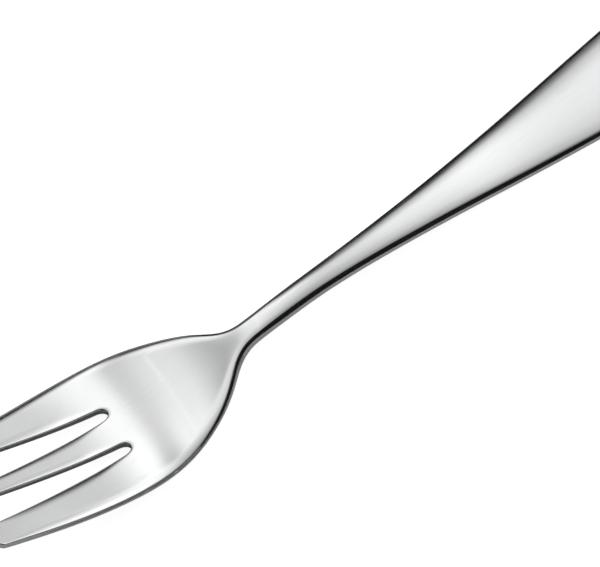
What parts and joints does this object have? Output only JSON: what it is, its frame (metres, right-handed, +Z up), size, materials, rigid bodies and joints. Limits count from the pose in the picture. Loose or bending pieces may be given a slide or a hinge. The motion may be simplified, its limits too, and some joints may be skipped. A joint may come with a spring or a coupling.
{
  "type": "cake fork",
  "caption": "Polished stainless steel cake fork with a shallow head, slender tines of which one is slanted for cutting, a narrow neck and a flared, crowned handle.",
  "frame": {"origin": "centre of the fork's box, on the table that it lies on", "axes": "+X along the fork to the end of the handle, +Y from the cutting tine to the outer tine, +Z up, out of the hollow side of the head"},
  "size_m": [0.155, 0.0242, 0.0145],
  "materials": {
    "steel": "polished stainless steel with very fine polishing lines along the fork"
  },
  "bodies": {
    "root": {"handle": "steel", "neck": "steel", "head": "steel", "cutting_tine": "steel", "middle_tine": "steel", "outer_tine": "steel"}
  },
  "joints": []
}
